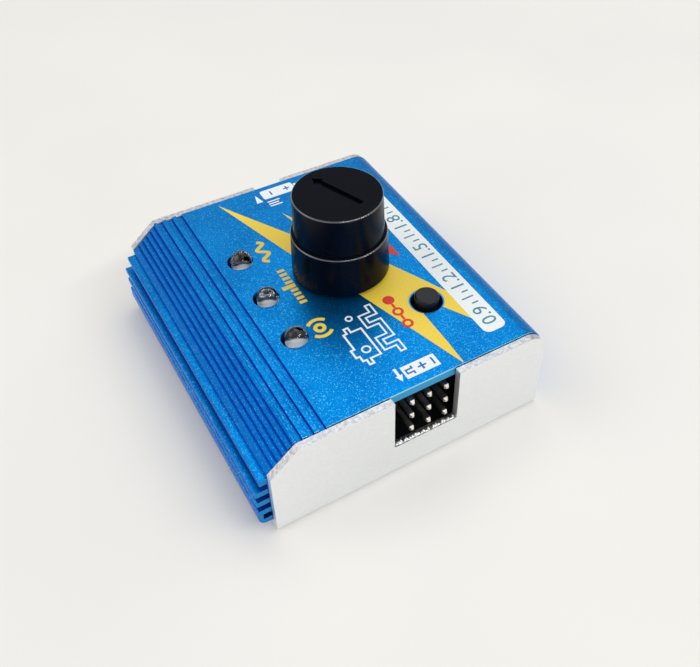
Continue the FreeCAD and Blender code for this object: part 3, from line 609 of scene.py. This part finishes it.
notch_floor = 5.25 * mm
sheet = 1.0 * mm
corner_round = 0.35 * mm
tooth = 0.08 * mm         # one step along a burr
burr_width, burr_height, burr_sink = 0.8 * mm, 0.45 * mm, 0.02 * mm
notches = [(16.8 * mm, 26.3 * mm, TRAY[0].y + sheet / 2),
           (20.08 * mm, 24.52 * mm, TRAY[1].y - sheet / 2)]
burrs = []
for left, right, middle_y in notches:
    ends = [tray_corner[0] + left + corner_round, tray_corner[0] + right - corner_round]
    burrs.append(burr([(x, middle_y, notch_floor - burr_sink) for x in ends],
                      burr_width, burr_height, round((right - left) / tooth)))
piece("notch_burr", burrs, torn_edge, smooth=True)


# ---- insides of the lamps ----
lead_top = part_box("lamp_leads")[1].z
cup_radius, cup_wall = 0.92 * mm, 0.08 * mm
lens_foot = LENSES[0].z
cups, chips, bowls = [], [], []
for lamp_y in lamp_ys:
    middle = (lamp_x, lamp_y)
    cups.append(turned([(0.3 * mm, lead_top), (0.55 * mm, lead_top + 0.1 * mm),
                        (cup_radius, lead_top + 0.7 * mm),
                        (cup_radius - cup_wall, lead_top + 0.7 * mm),
                        (0.5 * mm, lead_top + 0.2 * mm), (0.05 * mm, lead_top + 0.18 * mm)],
                       middle))
    bowls.append(turned([(0.05 * mm, lens_foot + 0.75 * mm), (0.9 * mm, lens_foot + 0.9 * mm),
                         (1.42 * mm, lens_foot + 2.1 * mm), (1.36 * mm, lens_foot + 2.15 * mm),
                         (0.85 * mm, lens_foot + 1.0 * mm), (0.05 * mm, lens_foot + 0.85 * mm)],
                        middle))
    chips.append(turned([(0.2 * mm, lead_top + 0.19 * mm), (0.21 * mm, lead_top + 0.42 * mm),
                         (0.05 * mm, lead_top + 0.43 * mm)], middle, 12))
piece("lamp_cups", cups, silver_plate, smooth=True)
piece("lamp_bowls", bowls, bowl_metal, smooth=True)
piece("lamp_chips", chips, tin)


# ---- floor, light and camera ----
def stage_floor():
    """Honed pale stone: barely shiny, with a faint slow cloud."""
    material, tree, place = blank("honed_pale_stone")
    cloud = add(tree, "ShaderNodeTexNoise", {"Vector": place, "Scale": per_metre(60.0)}).outputs[0]
    colour = blend(tree, cloud, 0.3, 0.7, srgb("#edece9"), srgb("#f2f1ed"))
    close(tree, {"Base Color": colour, "Roughness": 0.55})
    mesh = bpy.data.meshes.new("floor")
    reach, level = 1.6, -0.05 * mm
    mesh.from_pydata([(-reach, -reach, level), (reach, -reach, level), (reach, reach, level),
                      (-reach, reach, level)], [], [(0, 1, 2, 3)])
    mesh.materials.append(material)
    made = bpy.data.objects.new("floor", mesh)
    bpy.context.scene.collection.objects.link(made)


def soft_light(name, azimuth, elevation, distance, wide, tall, watts, colour="#ffffff"):
    """An area light at an azimuth (0 is +X, 90 is +Y), level and turned to the object."""
    data = bpy.data.lights.new(name, "AREA")
    data.shape, data.size, data.size_y, data.energy = "RECTANGLE", wide, tall, watts
    data.color = srgb(colour)[:3]
    made = bpy.data.objects.new(name, data)
    a, e = math.radians(azimuth), math.radians(elevation)
    back = Vector((math.cos(e) * math.cos(a), math.cos(e) * math.sin(a), math.sin(e)))
    made.location = back * distance
    made.rotation_mode = "QUATERNION"
    made.rotation_quaternion = back.to_track_quat("Z", "Y")
    bpy.context.scene.collection.objects.link(made)


stage_floor()
soft_light("key", -15, 58, 0.75, 0.6, 0.6, 0.6)
soft_light("rear_window", 60, 60, 0.8, 0.4, 0.4, 0.7, "#fbfdff")
soft_light("left_window", 150, 42, 0.8, 0.5, 0.5, 1.1, "#fff9f2")
soft_light("strip", -70, 48, 0.9, 1.2, 0.04, 2.6)

world = bpy.data.worlds.new("studio")
world.use_nodes = True
background = world.node_tree.nodes["Background"].inputs
background["Color"].default_value = srgb("#faf9f7")
background["Strength"].default_value = 0.6
bpy.context.scene.world = world
bpy.context.scene.view_settings.view_transform = "Standard"

camera_data = bpy.data.cameras.new("camera")
camera_data.sensor_width = 36.0    # mm, as is the lens
camera_data.lens = 45.01
camera_data.shift_x, camera_data.shift_y = -0.0936, -0.0740
camera_data.clip_start = 0.005
camera = bpy.data.objects.new("camera", camera_data)
bpy.context.scene.collection.objects.link(camera)
# Close above the left front corner; the three axes are square to each other.
eye = (-0.037407, -0.081415, 0.096559)
forward = np.array([0.40145, 0.61273, -0.68073])
right = np.array([0.8473, -0.5306, 0.0222])
right -= forward * (right @ forward)
right /= np.linalg.norm(right)
up = np.cross(right, forward)
turn_to = Matrix([[right[k], up[k], -forward[k]] for k in range(3)])
camera.matrix_world = Matrix.Translation(eye) @ turn_to.to_4x4()
bpy.context.scene.camera = camera
